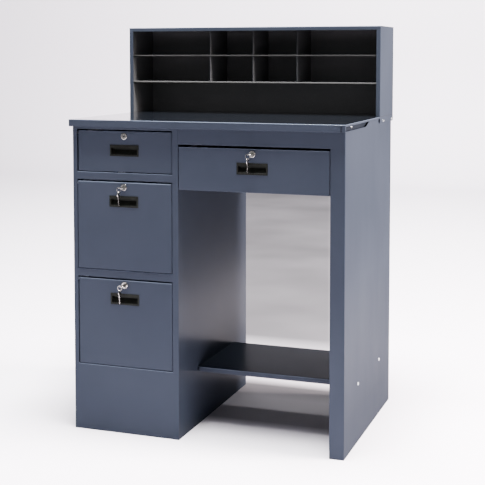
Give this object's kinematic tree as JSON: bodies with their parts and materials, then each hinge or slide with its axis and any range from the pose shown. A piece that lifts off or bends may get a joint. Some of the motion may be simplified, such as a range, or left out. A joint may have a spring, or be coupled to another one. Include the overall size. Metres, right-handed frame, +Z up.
{
  "type": "pedestal writing desk with riser",
  "caption": "Standing-height steel pedestal desk with locking drawers, a pigeonhole riser on top, an open kneehole and a foot shelf.",
  "frame": {"origin": "on the floor, at the middle of the whole desk's footprint, hanging keys included", "axes": "+Z up; the drawers face -Y; +X to the user's right, the leg side"},
  "size_m": [0.884, 0.6564, 1.262],
  "materials": {
    "body_paint": "semi-gloss slate blue-grey powder coat on folded steel sheet",
    "riser_liner": "dark satin paint inside the riser",
    "black_plastic": "moulded black plastic, fine texture",
    "nickel": "bright nickel plate",
    "zinc": "bright zinc plate"
  },
  "bodies": {
    "desk_frame": {"pedestal_left_side": "body_paint", "pedestal_right_side": "body_paint", "pedestal_back": "body_paint", "pedestal_floor": "body_paint", "top_rail": "body_paint", "upper_rail": "body_paint", "lower_rail": "body_paint", "base_panel": "body_paint", "leg_panel": "body_paint", "apron": "body_paint", "rear_crossbar": "body_paint", "desktop": "body_paint", "desktop_stiffeners": "body_paint", "desktop_bolts": "zinc", "riser_left_side": "body_paint", "riser_right_side": "body_paint", "riser_top": "body_paint", "riser_back": "riser_liner", "riser_upper_shelf": "body_paint", "riser_lower_shelf": "body_paint", "left_divider": "body_paint", "middle_divider": "body_paint", "right_divider": "body_paint", "riser_screws": "zinc", "foot_shelf": "body_paint", "foot_shelf_bolts": "zinc", "pedestal_runners": "zinc", "centre_runners": "zinc", "runner_hanger": "body_paint"},
    "upper_drawer": {"upper_drawer_front": "body_paint", "upper_drawer_tray": "body_paint", "upper_drawer_pull": "black_plastic", "upper_drawer_lock_housing": "nickel"},
    "upper_lock": {"upper_drawer_lock_plug": "nickel", "upper_drawer_lock_cam": "zinc"},
    "middle_drawer": {"middle_drawer_front": "body_paint", "middle_drawer_tray": "body_paint", "middle_drawer_pull": "black_plastic", "middle_drawer_lock_housing": "nickel"},
    "middle_lock": {"middle_drawer_lock_plug": "nickel", "middle_drawer_lock_cam": "zinc", "middle_drawer_key": "nickel"},
    "middle_spare": {"middle_drawer_spare_key": "nickel"},
    "lower_drawer": {"lower_drawer_front": "body_paint", "lower_drawer_tray": "body_paint", "lower_drawer_pull": "black_plastic", "lower_drawer_lock_housing": "nickel"},
    "lower_lock": {"lower_drawer_lock_plug": "nickel", "lower_drawer_lock_cam": "zinc", "lower_drawer_key": "nickel"},
    "lower_spare": {"lower_drawer_spare_key": "nickel"},
    "centre_drawer": {"centre_drawer_front": "body_paint", "centre_drawer_tray": "body_paint", "centre_drawer_pull": "black_plastic", "centre_drawer_lock_housing": "nickel"},
    "centre_lock": {"centre_drawer_lock_plug": "nickel", "centre_drawer_lock_cam": "zinc", "centre_drawer_key": "nickel"},
    "centre_spare": {"centre_drawer_spare_key": "nickel"}
  },
  "joints": [
    {"name": "upper_drawer_slide", "type": "slide", "parent": "desk_frame", "child": "upper_drawer", "axis": [0, -1, 0], "range_m": [0, 0.44]},
    {"name": "upper_lock_turn", "type": "hinge", "parent": "upper_drawer", "child": "upper_lock", "pos_m": [-0.25925, -0.28975, 0.922], "axis": [0, 1, 0], "range_deg": [0, 90]},
    {"name": "middle_drawer_slide", "type": "slide", "parent": "desk_frame", "child": "middle_drawer", "axis": [0, -1, 0], "range_m": [0, 0.44]},
    {"name": "middle_lock_turn", "type": "hinge", "parent": "middle_drawer", "child": "middle_lock", "pos_m": [-0.25925, -0.29475, 0.766], "axis": [0, 1, 0], "range_deg": [0, 90]},
    {"name": "middle_spare_swing", "type": "hinge", "parent": "middle_lock", "child": "middle_spare", "pos_m": [-0.26468, -0.31825, 0.76131], "axis": [0, 1, 0], "range_deg": [-90, 0]},
    {"name": "lower_drawer_slide", "type": "slide", "parent": "desk_frame", "child": "lower_drawer", "axis": [0, -1, 0], "range_m": [0, 0.44]},
    {"name": "lower_lock_turn", "type": "hinge", "parent": "lower_drawer", "child": "lower_lock", "pos_m": [-0.25925, -0.29175, 0.464], "axis": [0, 1, 0], "range_deg": [0, 90]},
    {"name": "lower_spare_swing", "type": "hinge", "parent": "lower_lock", "child": "lower_spare", "pos_m": [-0.26468, -0.31525, 0.45931], "axis": [0, 1, 0], "range_deg": [-90, 0]},
    {"name": "centre_drawer_slide", "type": "slide", "parent": "desk_frame", "child": "centre_drawer", "axis": [0, -1, 0], "range_m": [0, 0.44]},
    {"name": "centre_lock_turn", "type": "hinge", "parent": "centre_drawer", "child": "centre_lock", "pos_m": [0.1545, -0.29375, 0.88], "axis": [0, 1, 0], "range_deg": [0, 90]},
    {"name": "centre_spare_swing", "type": "hinge", "parent": "centre_lock", "child": "centre_spare", "pos_m": [0.14907, -0.31725, 0.87531], "axis": [0, 1, 0], "range_deg": [-90, 0]}
  ],
  "couplings": [
    {"joint": "middle_spare_swing", "follows": "middle_lock_turn", "ratio": -1},
    {"joint": "lower_spare_swing", "follows": "lower_lock_turn", "ratio": -1},
    {"joint": "centre_spare_swing", "follows": "centre_lock_turn", "ratio": -1}
  ]
}
